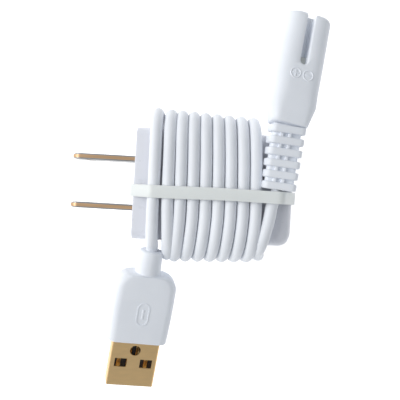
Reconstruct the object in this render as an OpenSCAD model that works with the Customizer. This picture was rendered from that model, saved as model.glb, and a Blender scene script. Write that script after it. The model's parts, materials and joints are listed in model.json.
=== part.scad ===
// Wall charger with its charging cord wound round it, held by a rubber band.
// The wall face is the plane x = 0 with its centre at the origin. The prongs point to -X,
// the USB port faces +X, the prongs lie apart along Y, and +Z is the side that shows.

/* [Housing] */
// Length from the wall face to the USB port face
housing_l = 39.5; // [38:0.5:44]
// Width, along the line between the prongs
housing_w = 28; // [27:0.5:32]
// Thickness
housing_t = 22; // [21:0.5:24]
// Wall thickness of the shell
wall = 1.6; // [1.4:0.1:1.8]
// Radius of the long edges
edge_r = 2.75; // [2.5:0.25:3.5]
// Radius where the sides meet the port face
end_r = 3; // [2.5:0.25:3.5]

/* [Prongs] */
// Length that stands out of the wall face
prong_l = 17.4; // [16:0.1:18.2]
// Width of a blade
prong_w = 6.35; // [6.2:0.05:6.5]
// Thickness of a blade
prong_t = 1.5; // [1.4:0.05:1.65]
// Distance between the blades' centres
prong_gap = 12.7; // [12.6:0.05:12.8]
// Radius of the hole in a blade
prong_hole_r = 1.5; // [1.4:0.05:1.6]
// Distance from a blade's tip to the middle of its hole
prong_hole_x = 4.4; // [4:0.1:5]

/* [Cord] */
// Diameter of the cord
cord_d = 3; // [2.8:0.1:3.2]
// Distance from one turn to the next
turn_pitch = 3.06; // [3.05:0.01:3.1]
// Number of turns
turns = 9; // [9:1:9]
// Slack of the turns at the housing's narrow sides
turn_slack = 1.1; // [0.9:0.1:1.4]

/* [Band] */
// Width of the rubber band
band_w = 3; // [2.8:0.1:3.6]
// Thickness of the rubber band
band_t = 0.7; // [0.5:0.1:0.9]

/* [USB plug] */
// Width of the moulded cover
plug_w = 15.2; // [14.6:0.1:15.8]
// Thickness of the moulded cover
plug_t = 7.8; // [7.4:0.1:8.2]
// Length of the moulded cover
plug_l = 17.6; // [17:0.1:19]
// Length of the round collar
collar_l = 5.9; // [5.5:0.1:6.5]
// Length of the plated shell outside the cover
plug_shell_l = 12.2; // [11.8:0.1:12.4]

/* [Appliance connector] */
// Width of the two-pole body
conn_w = 11.8; // [11:0.1:12]
// Thickness of the two-pole body
conn_t = 7.8; // [7.4:0.1:8.2]
// Length of the two-pole body
conn_l = 27.3; // [27:0.1:29]
// Distance between the two poles
pole_gap = 6; // [5.8:0.1:6.2]
// Radius of a socket sleeve's bore
socket_r = 0.9; // [0.8:0.05:1]
// Length of a socket sleeve's bore
socket_l = 9; // [8:0.5:10]
// Length of the strain relief
relief_l = 15.4; // [15:0.1:16]
// Number of ribs on the strain relief
ribs = 6; // [5:1:6]

/* [Hidden] */
$fn = 48;
eps = 0.01;

shell_white = [0.87, 0.87, 0.90];
cord_white = [0.90, 0.91, 0.94];
nickel = [0.75, 0.75, 0.76];
brass = [0.72, 0.58, 0.36];
copper = [0.80, 0.48, 0.30];
dark = [0.12, 0.12, 0.13];

// Inside of the housing
half_w = housing_w / 2;
half_t = housing_t / 2;
cavity_w = housing_w - 2 * wall;
cavity_t = housing_t - 2 * wall;
cavity_end = housing_l - wall;
cover_t = 2.4;
cover_step = 0.3;
cover_gap = 0.05;

// Middle of the rubber band
band_y = -1.8;

// USB port and circuit board
port_w = 12.5;
port_h = 5.12;
port_skin = 0.3;
port_l = 14;
port_x = housing_l - 0.6;
port_leg_x = port_x - port_l + port_skin + 0.65;
board_t = 1;
board_top = -port_h / 2 - port_skin;
board_x0 = 7.4;
board_x1 = cavity_end - 2;
board_w = cavity_w - 0.6;

// Turns of cord: the centre line runs round a rounded rectangle in the YZ plane
cord_r = cord_d / 2;
coil_x0 = 3.85;
coil_x1 = coil_x0 + turns * turn_pitch;
coil_half_y = half_w + turn_slack + cord_r;
coil_half_z = half_t + 0.2 + cord_r;
coil_corner = 6;
coil_cut_y = coil_corner - coil_half_y;
tail_x = coil_x1 + 0.6;

// The two ends of the cord, from the coil's cut faces to the plug and to the strain relief
plug_start = [5.3, -16.4, 9.7];
plug_turn = [-7.45, 10, -13.5];
plug_tail_route = [
    [5.35, coil_cut_y, coil_half_z], [5.35, coil_cut_y - 0.4, coil_half_z],
    [5.35, -12, 12.6], [5.36, -13.2, 12.15], [5.38, -14.35, 11.25], [5.4, -14.95, 10.4],
    [5.42, -15.45, 9.87], plug_start
];
relief_start = [35.1, 0.2, 13.6];
relief_turn = [4.6, 3, 3];
connector_turn = [8, -6, 10];
connector_tail_route = [
    [tail_x, coil_cut_y, coil_half_z], [tail_x, coil_cut_y + 0.4, coil_half_z],
    [32.7, -9, 12.7], [33.2, -7.6, 12.7], [33.75, -5.6, 12.75], [34.25, -3.6, 12.9],
    [34.75, -1.6, 13.25], relief_start
];

// ---------- shared shapes ----------

module rounded_plate(size, r, h) {
    // Rectangle with round corners, centred, extruded to h
    inner = [size[0] - 2 * r, size[1] - 2 * r];
    linear_extrude(h) union() {
        square([size[0], inner[1]], center = true);
        square([inner[0], size[1]], center = true);
        for (sx = [-1, 1], sy = [-1, 1])
            translate([sx * inner[0] / 2, sy * inner[1] / 2]) circle(r);
    }
}

module along_x(x) { translate([x, 0, 0]) rotate([90, 0, 90]) children(); }

module block(x, y, z) {
    // Box from three [low, high] pairs
    translate([x[0], y[0], z[0]]) cube([x[1] - x[0], y[1] - y[0], z[1] - z[0]]);
}

module housing_form(inset) {
    // Outer form of the housing, moved inwards by inset, from the wall face to the port end
    r = edge_r - inset / 2;
    len = housing_l - inset;
    intersection() {
        along_x(0) rounded_plate([housing_w - 2 * inset, housing_t - 2 * inset], r, len);
        end_outline(half_w - inset, len);
        rotate([90, 0, 0]) end_outline(half_t - inset, len);
    }
}

module end_outline(half, len) {
    // Plan of the housing: square at the wall face, round corners at the port end
    translate([0, 0, -half_w * 2]) linear_extrude(half_w * 4) union() {
        translate([0, -half]) square([len - end_r, half * 2]);
        translate([0, end_r - half]) square([len, (half - end_r) * 2]);
        for (s = [-1, 1]) translate([len - end_r, s * (half - end_r)]) circle(end_r);
    }
}

module tube(route, d, sides = 8) {
    // One closed tube swept along a route, with each ring square to the route
    last = len(route) - 1;
    function heading(i) =
        let (v = route[min(i + 1, last)] - route[max(i - 1, 0)]) v / norm(v);
    function across(t) = let (u = cross([0, 0, 1], t)) u / norm(u);
    function ring(i) =
        let (t = heading(i), u = across(t), w = cross(t, u))
        [for (k = [0:sides - 1]) let (a = 360 * (k + 0.5) / sides)
            route[i] + d / 2 * (cos(a) * u + sin(a) * w)];
    points = [for (i = [0:last]) each ring(i)];
    sides_faces = [for (i = [0:last - 1], k = [0:sides - 1])
        let (a = i * sides + k, b = i * sides + (k + 1) % sides)
        [a, a + sides, b + sides, b]];
    caps = [[for (k = [0:sides - 1]) k], [for (k = [sides - 1:-1:0]) last * sides + k]];
    polyhedron(points, concat(sides_faces, caps), convexity = 4);
}

module capacitor(d, h) {
    // Round can with a pressed groove and a vented top
    rotate_extrude() polygon([
        [0, 0], [d / 2, 0], [d / 2, 1], [d / 2 - 0.35, 1.35], [d / 2, 1.7],
        [d / 2, h - 0.3], [d / 2 - 0.3, h], [0, h]
    ]);
}

// ---------- charger housing and prongs ----------

module main_shell() {
    ledge = [board_x0 + 1.5, board_x1 - 16];
    color(shell_white) {
        difference() {
            housing_form(0);
            translate([-eps, 0, 0]) intersection() {
                housing_form(wall);
                block([-1, cavity_end], [-half_w, half_w], [-half_t, half_t]);
            }
            port_cut = [port_w + 2 * port_skin + 0.2, port_h + 2 * port_skin + 0.2];
            translate([housing_l - 6, -port_cut[0] / 2, -port_cut[1] / 2])
                cube([8, port_cut[0], port_cut[1]]);
        }
        for (s = [-1, 1])
            block(ledge, [s * (cavity_w / 2 - 0.5) - 0.6, s * (cavity_w / 2 - 0.5) + 0.6],
                  [board_top - board_t - 1.2, board_top - board_t]);
    }
}

module prong_slots(x, extra) {
    for (s = [-1, 1])
        block(x, [s * prong_gap / 2 - prong_t / 2 - extra, s * prong_gap / 2 + prong_t / 2 + extra],
              [-prong_w / 2 - extra, prong_w / 2 + extra]);
}

module prong_cover() {
    size = [cavity_w - 2 * cover_gap, cavity_t - 2 * cover_gap];
    color(shell_white) difference() {
        union() {
            along_x(cover_step) rounded_plate(size, edge_r - wall / 2, cover_t);
            for (s = [-1, 1])
                block([cover_t, cover_t + 2.6], [s * prong_gap / 2 - 2.2, s * prong_gap / 2 + 2.2],
                      [-prong_w / 2 - 1.4, prong_w / 2 + 1.4]);
        }
        prong_slots([-1, 9], 0);
    }
}

module prong(side) {
    // Blade with a rounded nose, a hole and a tail inside the housing
    tip_r = prong_w / 2;
    root = cover_t + 4.6;
    color(brass) translate([0, side * prong_gap / 2, 0]) difference() {
        intersection() {
            rotate([90, 0, 0]) translate([0, 0, -prong_t / 2]) linear_extrude(prong_t) union() {
                translate([-prong_l + 2, -tip_r]) square([prong_l - 2 + root, prong_w]);
                translate([-prong_l, -tip_r + 2]) square([3, prong_w - 4]);
                for (s = [-1, 1]) translate([-prong_l + 2, s * (tip_r - 2)]) circle(2);
            }
            translate([0, 0, -tip_r]) linear_extrude(prong_w) union() {
                translate([-prong_l + prong_t / 2, -prong_t / 2])
                    square([prong_l - prong_t / 2 + root, prong_t]);
                translate([-prong_l + prong_t / 2, 0]) circle(prong_t / 2);
            }
        }
        rotate([90, 0, 0]) translate([prong_hole_x - prong_l, 0, -prong_t])
            cylinder(r = prong_hole_r, h = prong_t * 2);
    }
}

module prong_upper() { prong(1); }
module prong_lower() { prong(-1); }

module prong_springs() {
    // Leaf under each blade's tail, with a foot that stands on the board
    low = board_top;
    color(copper) for (s = [-1, 1]) {
        y = s * prong_gap / 2 - s * (prong_t / 2 + 0.2);
        block([cover_t + 2.8, 9.2], [y - 0.2, y + 0.2], [-prong_w / 2 + 0.6, prong_w / 2]);
        block([8.2, 9.2], [y - 0.2, y + 0.2], [low - board_t - 0.8, -prong_w / 2 + 0.6 + eps]);
    }
}

// ---------- circuit ----------

module circuit_board() {
    color([0.10, 0.38, 0.20]) difference() {
        block([board_x0, board_x1], [-board_w / 2, board_w / 2],
              [board_top - board_t, board_top]);
        for (s = [-1, 1]) {
            y = s * (prong_gap / 2 - prong_t / 2 - 0.2);
            block([8, 9.4], [y - 0.3, y + 0.3], [board_top - 2, board_top + 1]);
        }
        for (p = lead_holes) translate([p[0], p[1], board_top - 2]) cylinder(d = 0.9, h = 4);
    }
}

core_c = [18.4, 2.9, board_top + 5.7];
bobbin_pins = [for (x = [-5.5, 5.5], y = [-3, 0, 3]) [x, y]];
safety_c = [25.2, -9.6];
lead_holes = concat(
    [for (p = bobbin_pins) [core_c[0] + p[0], core_c[1] + p[1]]],
    [for (s = [-1.6, 1.6]) [safety_c[0] + 1.2, safety_c[1] + s]],
    [for (i = [0:3]) [port_leg_x, usb_pin_y(i)]]
);

module transformer_core() {
    // Two E halves as one closed frame: outer limbs and the centre limb
    color(dark) translate(core_c) {
        difference() {
            block([-3, 3], [-6.4, 6.4], [-4.6, 5.4]);
            block([-4, 4], [-4.6, 4.6], [-3.2, 4]);
        }
        block([-3, 3], [-1.4, 1.4], [-3.2 - eps, 4 + eps]);
    }
}

module transformer_bobbin() {
    // Spool round the centre limb, with pins at both ends
    color([0.16, 0.14, 0.13]) translate(core_c) {
        difference() {
            union() {
                for (z = [-3.1, 3.3]) block([-6, 6], [-4.5, 4.5], [z, z + 0.6]);
                block([-3.5, 3.5], [-1.9, 1.9], [-3.1, 3.9]);
            }
            block([-3.05, 3.05], [-1.45, 1.45], [-4, 5]);
        }
        for (p = bobbin_pins) translate([p[0], p[1], -7]) cylinder(d = 0.6, h = 4);
    }
}

module transformer_winding() {
    color([0.86, 0.70, 0.22]) translate(core_c) difference() {
        block([-5.4, 5.4], [-4.3, 4.3], [-2.45, 3.25]);
        block([-3.55, 3.55], [-1.95, 1.95], [-3, 4]);
    }
}

module bridge_diodes() {
    // Four axial diodes under the board, in a row
    color(dark) for (i = [0:3])
        translate([10 + i * 2.8, -7.5, board_top - board_t - 1.4]) rotate([-90, 0, 0]) {
            cylinder(d = 2, h = 4.2);
            translate([0, 0, -2]) cylinder(d = 0.6, h = 8.2);
        }
}

module fusible_resistor() {
    color([0.35, 0.62, 0.45]) translate([8.6, -2.6, board_top + 1.6]) rotate([-90, 0, 0])
        rotate_extrude() polygon([
            [0, 0], [0.3, 0], [0.3, 1], [1.3, 1], [1.5, 1.4], [1.2, 2], [1.2, 3.4],
            [1.5, 4], [1.3, 4.6], [0.3, 4.6], [0.3, 5.6], [0, 5.6]
        ]);
}

module input_capacitors() {
    color([0.15, 0.20, 0.36]) for (x = [12.4, 19.2])
        translate([x, -8.2, board_top + 0.1]) capacitor(6.3, 11);
}

module input_choke() {
    color([0.20, 0.45, 0.30]) translate([10, 9.2, board_top + 0.1]) {
        cylinder(d = 5, h = 1);
        cylinder(d = 3.4, h = 7);
        translate([0, 0, 6]) cylinder(d = 5, h = 1);
    }
}

module chip(size, pins, pitch) {
    color(dark) translate([-size[0] / 2, -size[1] / 2, 0]) cube(size);
    color(nickel) for (i = [0:pins - 1], s = [-1, 1])
        translate([(i - (pins - 1) / 2) * pitch - 0.2, s * (size[1] / 2 + 0.45) - 0.5, 0])
            cube([0.4, 1, 0.3]);
}

module switching_controller() {
    translate([18.2, 4.4, board_top - board_t]) rotate([180, 0, 0]) chip([5, 4, 1.6], 4, 1.27);
}

module feedback_coupler() {
    translate([29.5, 6.6, board_top - board_t]) rotate([180, 0, 0]) chip([4.4, 4.6, 2.2], 2, 2.54);
}

module safety_capacitor() {
    color([0.30, 0.45, 0.72]) translate([safety_c[0], safety_c[1], board_top + 4.4]) rotate([90, 0, 90]) {
        cylinder(d = 5.2, h = 2.4);
        for (x = [-1.6, 1.6]) translate([x, -3.4, 1.2]) rotate([90, 0, 0]) cylinder(d = 0.6, h = 2);
        for (x = [-1.6, 1.6]) translate([x, -1.6, 1.2]) rotate([90, 0, 0]) cylinder(d = 0.6, h = 2.4);
    }
}

module output_diode() {
    color(dark) translate([30.4, 0, board_top - board_t]) {
        block([-2.2, 2.2], [-1.5, 1.5], [-2.1, -0.1]);
        for (s = [-1, 1]) block([s * 2.5 - 0.5, s * 2.5 + 0.5], [-0.8, 0.8], [-0.6, -0.05]);
    }
}

module output_capacitor() {
    color([0.14, 0.15, 0.17])
        translate([cavity_end - 12.2, 0, port_h / 2 + port_skin + 3.3]) rotate([0, 90, 0])
            capacitor(6.3, 9);
}

// ---------- USB port ----------

module usb_port_shell() {
    outer = [port_w + 2 * port_skin, port_h + 2 * port_skin];
    color(nickel) difference() {
        block([port_x - port_l, port_x], [-outer[0] / 2, outer[0] / 2],
              [-outer[1] / 2, outer[1] / 2]);
        block([port_x - port_l + port_skin, port_x + 1], [-port_w / 2, port_w / 2],
              [-port_h / 2, port_h / 2]);
        for (s = [-1, 1], z = [-1, 1])
            block([port_x - 8.6, port_x - 4.6], [s * 3.4 - 1, s * 3.4 + 1],
                  [z * port_h / 2 - 1, z * port_h / 2 + 1]);
        for (i = [0:3]) translate([port_leg_x, usb_pin_y(i), -4]) cylinder(d = 1, h = 3);
    }
}

function usb_pin_y(i) = [-3.5, -1, 1, 3.5][i];

module usb_port_tongue() {
    // Plastic body at the port's back with the tongue that carries the contacts
    back = port_x - port_l + port_skin;
    color([0.93, 0.93, 0.92]) difference() {
        union() {
            block([back, back + 4], [-port_w / 2 + 0.05, port_w / 2 - 0.05],
                  [-port_h / 2 + 0.05, port_h / 2 - 0.05]);
            block([back + 4 - eps, back + 12.4], [-5.55, 5.55], [0.35, 2.2]);
        }
        for (i = [0:3]) {
            y = usb_pin_y(i);
            block([back + 0.2, back + 12.6], [y - 0.55, y + 0.55], [0.2, 0.6]);
            block([back - 1, back + 1.2], [y - 0.55, y + 0.55], [-3, 0.6]);
        }
    }
}

module usb_port_contacts() {
    back = port_x - port_l + port_skin;
    color(brass) for (i = [0:3]) {
        y = usb_pin_y(i);
        block([back + 0.5, back + 11.6], [y - 0.5, y + 0.5], [0.3, 0.58]);
        block([port_leg_x - 0.15, port_leg_x + 0.15], [y - 0.3, y + 0.3],
              [board_top - board_t - 0.7, 0.3 + eps]);
    }
}

// ---------- rubber band ----------

function grown(points, d) =
    // The corners of a convex outline, listed anticlockwise, moved outwards by d
    let (n = len(points)) [for (i = [0:n - 1])
        let (a = points[(i + n - 1) % n], b = points[i], c = points[(i + 1) % n],
             u = (b - a) / norm(b - a), v = (c - b) / norm(c - b),
             p = [u[1], -u[0]], q = [v[1], -v[0]])
        b + d * (p + q) / (1 + p * q)];

module rubber_band() {
    // Stretched loop: over the wall face, the turns, the cord's tail and the port end
    under = coil_half_z + cord_r + 0.05;
    tail_top = 15.15;
    bend = end_r + 0.12;
    end_c = [housing_l - end_r, half_t - end_r];
    inner = concat(
        [[-0.05, half_t + 0.05], [-0.05, -half_t - 0.05], [coil_x0 - 0.05, -under],
         [coil_x1 - 0.1, -under]],
        [for (a = [-60:15:0]) [end_c[0] + bend * cos(a), -end_c[1] + bend * sin(a)]],
        [for (a = [0:15:30]) [end_c[0] + bend * cos(a), end_c[1] + bend * sin(a)]],
        [[36, tail_top], [33.4, tail_top], [5.35, under + 0.1], [coil_x0 - 0.05, under + 0.05]]
    );
    color([0.86, 0.88, 0.88]) translate([0, band_y + band_w / 2, 0]) rotate([90, 0, 0])
        linear_extrude(band_w) difference() {
            polygon(grown(inner, band_t));
            polygon(inner);
        }
}

// ---------- cord ----------

module coil_outline(grow) {
    // Rounded rectangle round the turns, in the YZ plane
    size = [2 * (coil_half_y + grow), 2 * (coil_half_z + grow)];
    r = coil_corner + grow;
    inner = [size[0] - 2 * r, size[1] - 2 * r];
    square([size[0], inner[1]], center = true);
    square([inner[0], size[1]], center = true);
    for (sy = [-1, 1], sz = [-1, 1])
        translate([sy * inner[0] / 2, sz * inner[1] / 2]) circle(r);
}

module coil_ring(x0, x1) {
    along_x(x0) linear_extrude(x1 - x0) difference() {
        coil_outline(cord_r);
        coil_outline(-cord_r);
    }
}

module cord_coil() {
    // Outer shape of all the turns; cut back where the two free ends leave it
    reach = coil_half_y + cord_r + 1;
    color(cord_white) difference() {
        union() {
            coil_ring(coil_x0, coil_x1);
            intersection() {
                coil_ring(coil_x1 - 1, tail_x + cord_r);
                block([0, 50], [-reach, coil_cut_y], [-reach, reach]);
            }
        }
        block([0, coil_x0 + turn_pitch], [-reach, coil_cut_y], [-reach, reach]);
        block([0, 8.6], [-reach, coil_cut_y], [5, reach]);
        block([tail_x - cord_r - 0.05, 50], [coil_cut_y, -5.8], [0, reach]);
        block([30.7, 50], [-5.8, 9], [10, reach]);
    }
}

module cord_tail_plug() { color(cord_white) tube(plug_tail_route, cord_d); }
module cord_tail_connector() { color(cord_white) tube(connector_tail_route, cord_d); }

// ---------- USB plug: built along +X from the collar's top, width on Y ----------

module at_plug() {
    translate(plug_start) rotate([0, 0, -90 + plug_turn[0]]) rotate([0, plug_turn[1], 0])
        rotate([plug_turn[2], 0, 0]) children();
}

cover_x0 = collar_l;
cover_x1 = collar_l + plug_l;
mould_x = [cover_x0 + 4, cover_x1 - 1.5];

module usb_plug_cover() {
    corner = 3.2;
    half = plug_w / 2;
    face_r = 1.6;
    color(cord_white) at_plug() difference() {
        union() {
            rotate([0, 90, 0]) cylinder(d1 = 5.9, d2 = 6.4, h = cover_x0 + 1);
            intersection() {
                along_x(cover_x0) rounded_plate([plug_w, plug_t], face_r, plug_l);
                translate([0, 0, -plug_t]) linear_extrude(plug_t * 2) union() {
                    translate([cover_x0 + corner, -half]) square([plug_l - corner, plug_w]);
                    translate([cover_x0, corner - half]) square([corner + 1, plug_w - 2 * corner]);
                    for (s = [-1, 1])
                        translate([cover_x0 + corner, s * (half - corner)]) circle(corner);
                }
            }
        }
        translate([-1, 0, 0]) rotate([0, 90, 0]) cylinder(r = cord_r + 0.02, h = mould_x[0] + 2);
        block([mould_x[0], mould_x[1]], [-6.05, 6.05], [-2.6, 2.6]);
        block([mould_x[1] - eps, cover_x1 + 1], [-6.05, 6.05], [-2.3, 2.3]);
    }
}

module usb_plug_inner_mould() {
    color([0.80, 0.82, 0.80]) at_plug()
        block([mould_x[0] + 0.1, mould_x[1] - 5.1], [-5.8, 5.8], [-2.5, 2.5]);
}

module usb_plug_shell() {
    x0 = mould_x[1] - 5;
    x1 = cover_x1 + plug_shell_l;
    skin = 0.3;
    color(brass) at_plug() difference() {
        block([x0, x1], [-6, 6], [-2.25, 2.25]);
        block([x0 - 1, x1 + 1], [-6 + skin, 6 - skin], [-2.25 + skin, 2.25 - skin]);
        for (z = [-1, 1]) {
            for (s = [-1, 1])
                block([x1 - 7.4, x1 - 5.1], [s * 3.2 - 1.4, s * 3.2 + 1.4],
                      [z * 2.25 - 1, z * 2.25 + 1]);
            translate([x1 - 9.7, 0, z * 2.25 - 1]) cylinder(d = 2.6, h = 2);
        }
    }
}

module usb_plug_insulator() {
    x0 = mould_x[1] - 4.9;
    x1 = cover_x1 + plug_shell_l - 0.3;
    color(dark) at_plug() difference() {
        block([x0, x1], [-5.65, 5.65], [-1.9, 0]);
        for (i = [0:3]) block([x0 - 1, x1 - 1.4], [usb_pin_y(i) - 0.55, usb_pin_y(i) + 0.55], [-0.35, 1]);
    }
}

module usb_plug_contacts() {
    x0 = mould_x[1] - 4.9;
    x1 = cover_x1 + plug_shell_l - 1.8;
    color(brass) at_plug() for (i = [0:3])
        block([x0, x1 - (abs(i - 1.5) < 1 ? 1 : 0)],
              [usb_pin_y(i) - 0.5, usb_pin_y(i) + 0.5], [-0.34, -0.02]);
}

// ---------- appliance connector: built along +X from its neck, width on Y ----------

module at_relief() {
    translate(relief_start) rotate([0, 0, 90 - relief_turn[0]]) rotate([0, -relief_turn[1], 0])
        rotate([relief_turn[2], 0, 0]) children();
}

neck = relief_start + relief_l * [
    sin(relief_turn[0]) * cos(relief_turn[1]),
    cos(relief_turn[0]) * cos(relief_turn[1]), sin(relief_turn[1])
];

module at_connector() {
    translate(neck) rotate([0, 0, 90 - connector_turn[0]]) rotate([0, -connector_turn[1], 0])
        rotate([connector_turn[2], 0, 0]) children();
}

bore_x = [conn_l - 0.6 - socket_l, conn_l - 0.6];
sleeve_skin = 0.35;

module connector_body() {
    taper = 5.2;
    side_r = 3.6;
    slot_w = 1.7;
    slot_l = 13;
    slot_depth = 2.6;
    neck_half = 4.6;
    half = conn_w / 2;
    color(cord_white) at_connector() difference() {
        intersection() {
            along_x(0) rounded_plate([conn_w, conn_t], side_r, conn_l);
            translate([0, 0, -conn_t]) linear_extrude(conn_t * 2) union() {
                polygon([[0, -neck_half], [taper, -half], [conn_l - 2, -half],
                         [conn_l - 2, half], [taper, half], [0, neck_half]]);
                translate([conn_l - 3, 2 - half]) square([3, conn_w - 4]);
                for (s = [-1, 1]) translate([conn_l - 2, s * (half - 2)]) circle(2);
            }
        }
        for (z = [-1, 1]) {
            translate([conn_l - slot_l + slot_w / 2, 0, z * conn_t / 2 - slot_depth])
                cylinder(d = slot_w, h = 2 * slot_depth);
            block([conn_l - slot_l + slot_w / 2, conn_l + 1], [-slot_w / 2, slot_w / 2],
                  [z * conn_t / 2 - slot_depth, z * conn_t / 2 + slot_depth]);
        }
        for (s = [-1, 1]) translate([bore_x[0] - 2, s * pole_gap / 2, 0]) rotate([0, 90, 0])
            cylinder(r = socket_r + sleeve_skin + 0.05, h = socket_l + 5);
        block([6, bore_x[0] - 1], [-4.05, 4.05], [-2.05, 2.05]);
    }
}

module connector_carrier() {
    // Rigid block inside the body that holds the two sleeves' tails
    color([0.80, 0.82, 0.80]) at_connector() difference() {
        block([6.1, bore_x[0] - 1.1], [-4, 4], [-2, 2]);
        for (s = [-1, 1]) translate([9, s * pole_gap / 2, 0]) rotate([0, 90, 0])
            cylinder(r = 0.62, h = 20);
    }
}

module connector_sockets() {
    color(brass) at_connector() for (s = [-1, 1]) translate([0, s * pole_gap / 2, 0])
        rotate([0, 90, 0]) {
            difference() {
                translate([0, 0, bore_x[0] - 1]) cylinder(r = socket_r + sleeve_skin, h = socket_l + 1);
                translate([0, 0, bore_x[0]]) cylinder(r = socket_r, h = socket_l + 1);
            }
            translate([0, 0, 9.2]) cylinder(r = 0.6, h = bore_x[0] - 1 - 9.2 + eps);
        }
}

module connector_strain_relief() {
    rib_t = 1.6;
    rib_w = 8.2;
    rib_h = 5;
    core = [7, 3.6];
    rib_pitch = (relief_l - rib_t - 0.2) / (ribs - 1);
    color(cord_white) difference() {
        at_relief() {
            difference() {
                union() {
                    along_x(0) rounded_plate(core, 1.4, relief_l + 0.8);
                    for (i = [0:ribs - 1]) along_x(i * rib_pitch)
                        rounded_plate([rib_w, rib_h], 1.2, rib_t);
                }
                translate([-1, 0, 0]) rotate([0, 90, 0]) cylinder(r = cord_r + 0.02, h = 5);
            }
        }
        at_connector() block([0, 4], [-6, 6], [-6, 6]);
    }
}

main_shell();
prong_cover();
prong_upper();
prong_lower();
prong_springs();
circuit_board();
transformer_core();
transformer_bobbin();
transformer_winding();
bridge_diodes();
fusible_resistor();
input_capacitors();
input_choke();
switching_controller();
feedback_coupler();
safety_capacitor();
output_diode();
output_capacitor();
usb_port_shell();
usb_port_tongue();
usb_port_contacts();
rubber_band();
cord_coil();
cord_tail_plug();
cord_tail_connector();
usb_plug_cover();
usb_plug_inner_mould();
usb_plug_shell();
usb_plug_insulator();
usb_plug_contacts();
connector_body();
connector_carrier();
connector_sockets();
connector_strain_relief();
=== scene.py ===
"""A two-prong USB wall charger with its charging cord wound round it and a rubber band round both."""

import json
import math

import bmesh
import bpy
from mathutils import Matrix, Vector

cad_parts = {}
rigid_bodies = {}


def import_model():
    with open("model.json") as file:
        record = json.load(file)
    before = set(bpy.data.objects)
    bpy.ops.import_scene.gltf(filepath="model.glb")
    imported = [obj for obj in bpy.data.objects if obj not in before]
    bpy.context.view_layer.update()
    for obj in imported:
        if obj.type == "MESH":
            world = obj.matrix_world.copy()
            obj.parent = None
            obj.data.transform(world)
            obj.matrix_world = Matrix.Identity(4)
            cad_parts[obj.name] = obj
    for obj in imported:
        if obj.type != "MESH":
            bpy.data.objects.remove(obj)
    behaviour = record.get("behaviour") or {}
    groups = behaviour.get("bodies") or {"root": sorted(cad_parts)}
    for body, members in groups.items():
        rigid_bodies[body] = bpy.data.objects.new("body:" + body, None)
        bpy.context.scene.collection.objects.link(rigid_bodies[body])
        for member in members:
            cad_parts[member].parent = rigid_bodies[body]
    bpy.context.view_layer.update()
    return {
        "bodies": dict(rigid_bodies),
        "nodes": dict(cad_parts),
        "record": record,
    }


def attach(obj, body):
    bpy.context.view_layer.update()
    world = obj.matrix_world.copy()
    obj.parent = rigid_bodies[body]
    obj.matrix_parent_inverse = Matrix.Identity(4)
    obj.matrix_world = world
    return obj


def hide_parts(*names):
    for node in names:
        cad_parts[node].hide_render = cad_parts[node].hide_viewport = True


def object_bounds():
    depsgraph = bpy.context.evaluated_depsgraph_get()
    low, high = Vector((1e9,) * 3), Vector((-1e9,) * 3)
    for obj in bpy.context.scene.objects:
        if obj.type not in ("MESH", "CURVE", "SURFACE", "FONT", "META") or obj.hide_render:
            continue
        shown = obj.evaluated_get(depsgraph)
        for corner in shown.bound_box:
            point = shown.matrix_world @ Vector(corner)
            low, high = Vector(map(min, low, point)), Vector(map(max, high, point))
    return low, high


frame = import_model()

MM = 0.001
BODY = next(iter(frame["bodies"]))
scene = bpy.context.scene

# ---------- sizes shared with the design, in millimetres ----------

HOUSING = Vector((39.5, 28.0, 22.0))
WALL = 1.6
EDGE_R = 2.75
END_R = 3.0
PRONG = Vector((17.4, 1.5, 6.35))
PRONG_GAP = 12.7
PRONG_ROOT = 7.0
PRONG_CORNER = 2.0
PRONG_HOLE_X = 4.4
PRONG_HOLE_R = 1.5
PORT = (12.5, 5.12)
CORD_R = 1.5
BAND_W = 3.0
BAND_T = 0.7
BAND_Y = -1.8
COLLAR_L = 5.9
PLUG = Vector((17.6, 15.2, 7.8))
PLUG_SHELL = Vector((12.2, 12.0, 4.5))
PLUG_ROLL = -13.5
SHELL_DEPTH = 6.0
CONNECTOR = Vector((27.3, 11.8, 7.8))
SLEEVE_END = 0.6
SLEEVE_L = 9.0
RELIEF_ROLL = 3.0
RELIEF_TWIST = 7.0


# ---------- camera ----------


def make_camera():
    """Looks straight down on the charger, turned a little, from about 14 cm above it."""
    data = bpy.data.cameras.new("camera")
    data.sensor_width = 36.0
    data.lens = 48.5
    camera = bpy.data.objects.new("camera", data)
    scene.collection.objects.link(camera)
    camera.location = Vector((16.54, -3.35, 143.2)) * MM
    camera.rotation_euler = (0.0, 0.0, math.radians(3.3))
    scene.camera = camera


make_camera()


# ---------- the cord's route ----------

TURNS = 9
FIRST_X = 5.14
SECOND_X = 8.6
PITCH = 3.05
FRONT_Z = 12.7
BEND_R = 6.0
STEPS = 72
LOOP_HALF_Y = 16.6
TOP_REACH = 17.8
BOTTOM_REACH = 18.0
FIRST_BOTTOM_REACH = 17.5
LAST_BOTTOM_REACH = 16.4
REACH_LOSS = (0.14, 0.15)
BACK_SHIFT = -0.75
TOP_LEAN = (0.3, 0.45, 0.75, 0.95, 1.15, 1.25, 1.4)
TOP_WAY = ((0.0, 0.0), (0.06, 0.2), (0.115, 0.5), (0.155, 0.72), (0.2, 0.93), (0.25, 1.0), (0.36, 0.6))
BOTTOM_LEAN = (1.0, 1.1, 1.5)
BOTTOM_WAY = (
    (0.64, -1.27), (0.78, -0.97), (0.813, -0.8), (0.835, -0.57), (0.868, -0.24), (0.895, -0.03),
    (0.933, 0.13), (0.969, 0.1), (1.0, 0.0),
)
FIRST_BOTTOM_WAY = (
    (0.64, -1.2), (0.78, -0.1), (0.813, 0.2), (0.835, 0.6), (0.868, 0.7), (0.9, 0.5),
    (0.95, 0.15), (1.0, 0.0),
)

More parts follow.
